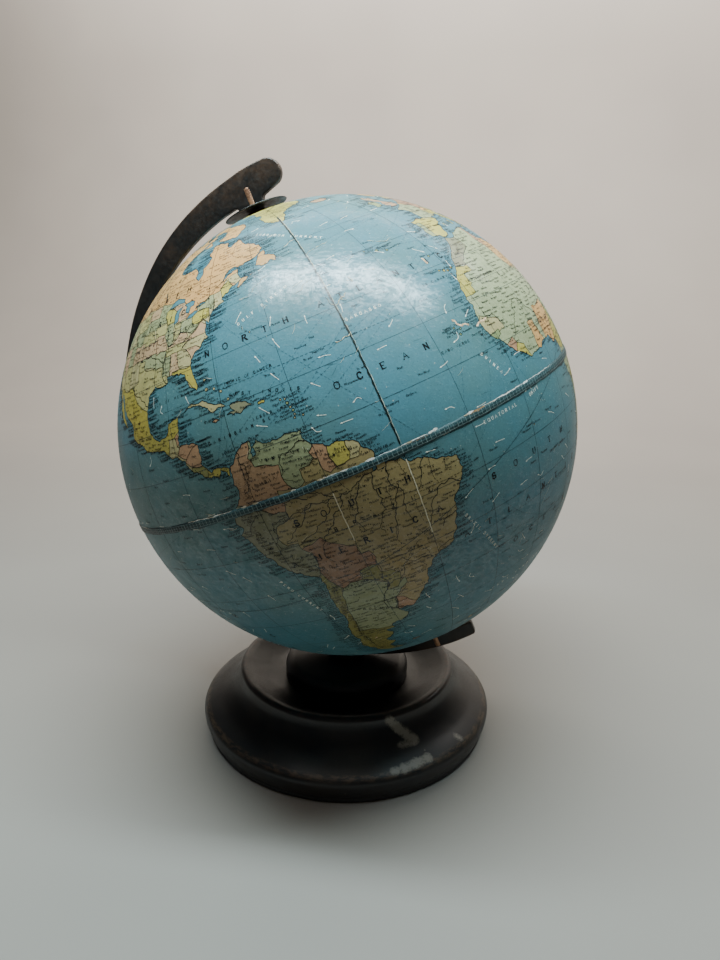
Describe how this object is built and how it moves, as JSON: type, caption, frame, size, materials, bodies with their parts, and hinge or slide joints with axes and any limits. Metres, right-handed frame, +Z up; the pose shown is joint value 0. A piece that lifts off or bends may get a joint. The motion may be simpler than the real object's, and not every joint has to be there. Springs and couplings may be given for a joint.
{
  "type": "terrestrial globe",
  "caption": "Tilted terrestrial desk globe that spins on a cast half-meridian arm, with an hour dial at the north pole and a round stepped metal base.",
  "frame": {"origin": "centre of the underside of the base, on the table", "axes": "+Z up; the arm stands in the XZ plane on the -X side and the north pole leans 23.5 degrees towards -X; +Y away from the viewer"},
  "size_m": [0.3168, 0.306, 0.3977],
  "materials": {
    "base_enamel": "worn gloss black enamel on spun steel",
    "arm_paint": "worn dark bronze paint on a casting, rubbed to copper on its ridges",
    "dial_paint": "satin black paint on sheet steel with printed hour figures",
    "steel": "plain turned steel",
    "brass": "dull turned brass",
    "fibre": "hard vulcanised fibre",
    "pulp_board": "raw pressed pulp board",
    "map_paper": "aged printed paper under yellowed gloss varnish",
    "tape": "varnished paper tape, torn at its edges",
    "felt": "green felt"
  },
  "bodies": {
    "stand": {"base_pan": "base_enamel", "base_cap": "base_enamel", "base_board": "pulp_board", "base_felt": "felt", "bolt_spacer": "steel", "clamp_plate": "steel", "lock_washer": "steel", "base_bolt": "steel", "arm": "arm_paint", "north_pin": "steel", "south_pivot_screw": "steel", "dial_washer": "fibre", "thrust_washer": "fibre"},
    "globe": {"north_ferrule": "brass", "south_ferrule": "brass", "axis_tube": "pulp_board", "north_shell": "pulp_board", "south_shell": "pulp_board", "equator_hoop": "pulp_board", "equator_tape": "tape", "gore_north_01": "map_paper", "gore_north_02": "map_paper", "gore_north_03": "map_paper", "gore_north_04": "map_paper", "gore_north_05": "map_paper", "gore_north_06": "map_paper", "gore_north_07": "map_paper", "gore_north_08": "map_paper", "gore_north_09": "map_paper", "gore_north_10": "map_paper", "gore_north_11": "map_paper", "gore_north_12": "map_paper", "gore_south_01": "map_paper", "gore_south_02": "map_paper", "gore_south_03": "map_paper", "gore_south_04": "map_paper", "gore_south_05": "map_paper", "gore_south_06": "map_paper", "gore_south_07": "map_paper", "gore_south_08": "map_paper", "gore_south_09": "map_paper", "gore_south_10": "map_paper", "gore_south_11": "map_paper", "gore_south_12": "map_paper"},
    "dial": {"hour_dial": "dial_paint"}
  },
  "joints": [
    {"name": "globe_spin", "type": "hinge", "parent": "stand", "child": "globe", "pos_m": [0, 0, 0.223], "axis": [-0.3987, 0, 0.9171], "continuous": true},
    {"name": "dial_turn", "type": "hinge", "parent": "stand", "child": "dial", "pos_m": [0, 0, 0.223], "axis": [-0.3987, 0, 0.9171], "continuous": true}
  ]
}
